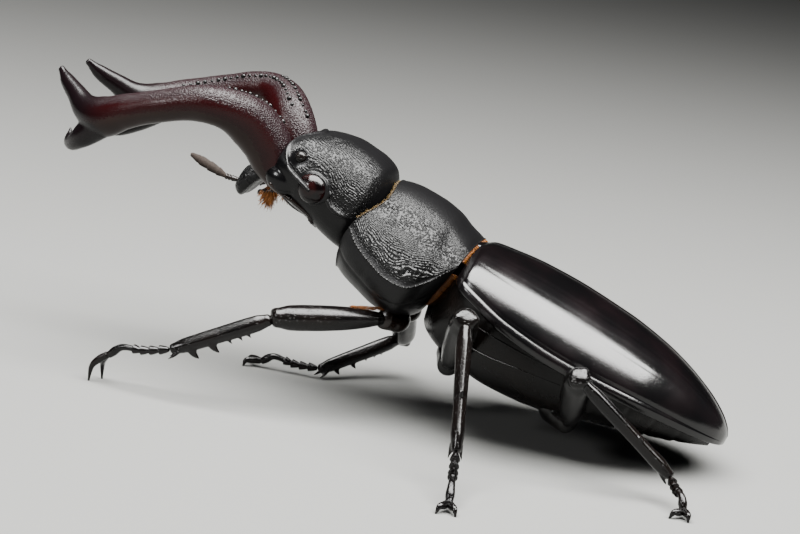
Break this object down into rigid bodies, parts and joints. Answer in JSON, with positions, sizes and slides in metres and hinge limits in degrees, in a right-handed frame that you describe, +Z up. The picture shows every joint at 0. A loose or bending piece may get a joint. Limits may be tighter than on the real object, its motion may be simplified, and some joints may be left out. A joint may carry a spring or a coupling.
{
  "type": "stag beetle",
  "caption": "Male stag beetle, life size, standing with head and forked mandibles raised; separate shell plates, eyes, feelers and six legs on small foot flats.",
  "frame": {"origin": "centre of the bounding box in X and Y, on the floor under the claws", "axes": "+Z up; the beetle faces -Y and its left side is +X"},
  "size_m": [0.0728, 0.0912, 0.0383],
  "materials": {
    "granular_shell": "satin black, finely granular",
    "elytra": "polished black with a wine tint",
    "underside": "polished brown-black",
    "mandible": "wine red, granular above and smooth below",
    "leg": "polished black",
    "eye": "high gloss dark brown",
    "antenna_stem": "gloss brown",
    "antenna_club": "felted grey-brown",
    "mouth_brush": "orange-brown bristle"
  },
  "bodies": {
    "root": {"eye_left": "eye", "eye_right": "eye", "head": "granular_shell", "mandible_left": "mandible", "mandible_right": "mandible", "labrum": "granular_shell", "mentum": "granular_shell", "maxilla_left": "mouth_brush", "palp_left": "antenna_stem", "maxilla_right": "mouth_brush", "palp_right": "antenna_stem", "scape_left": "antenna_stem", "funicle_left": "antenna_stem", "club_left": "antenna_club", "scape_right": "antenna_stem", "funicle_right": "antenna_stem", "club_right": "antenna_club", "pronotum": "granular_shell", "coxa_fore_left": "leg", "coxa_fore_right": "leg", "elytron_left": "elytra", "elytron_right": "elytra", "hind_thorax": "underside", "abdomen": "underside", "scutellum": "elytra", "coxa_mid_left": "leg", "coxa_mid_right": "leg", "coxa_hind_left": "leg", "coxa_hind_right": "leg", "femur_fore_left": "leg", "tibia_fore_left": "leg", "tarsus_fore_left": "leg", "claws_fore_left": "leg", "femur_fore_right": "leg", "tibia_fore_right": "leg", "tarsus_fore_right": "leg", "claws_fore_right": "leg", "femur_mid_left": "leg", "tibia_mid_left": "leg", "tarsus_mid_left": "leg", "claws_mid_left": "leg", "femur_mid_right": "leg", "tibia_mid_right": "leg", "tarsus_mid_right": "leg", "claws_mid_right": "leg", "femur_hind_left": "leg", "tibia_hind_left": "leg", "tarsus_hind_left": "leg", "claws_hind_left": "leg", "femur_hind_right": "leg", "tibia_hind_right": "leg", "tarsus_hind_right": "leg", "claws_hind_right": "leg"}
  },
  "joints": []
}
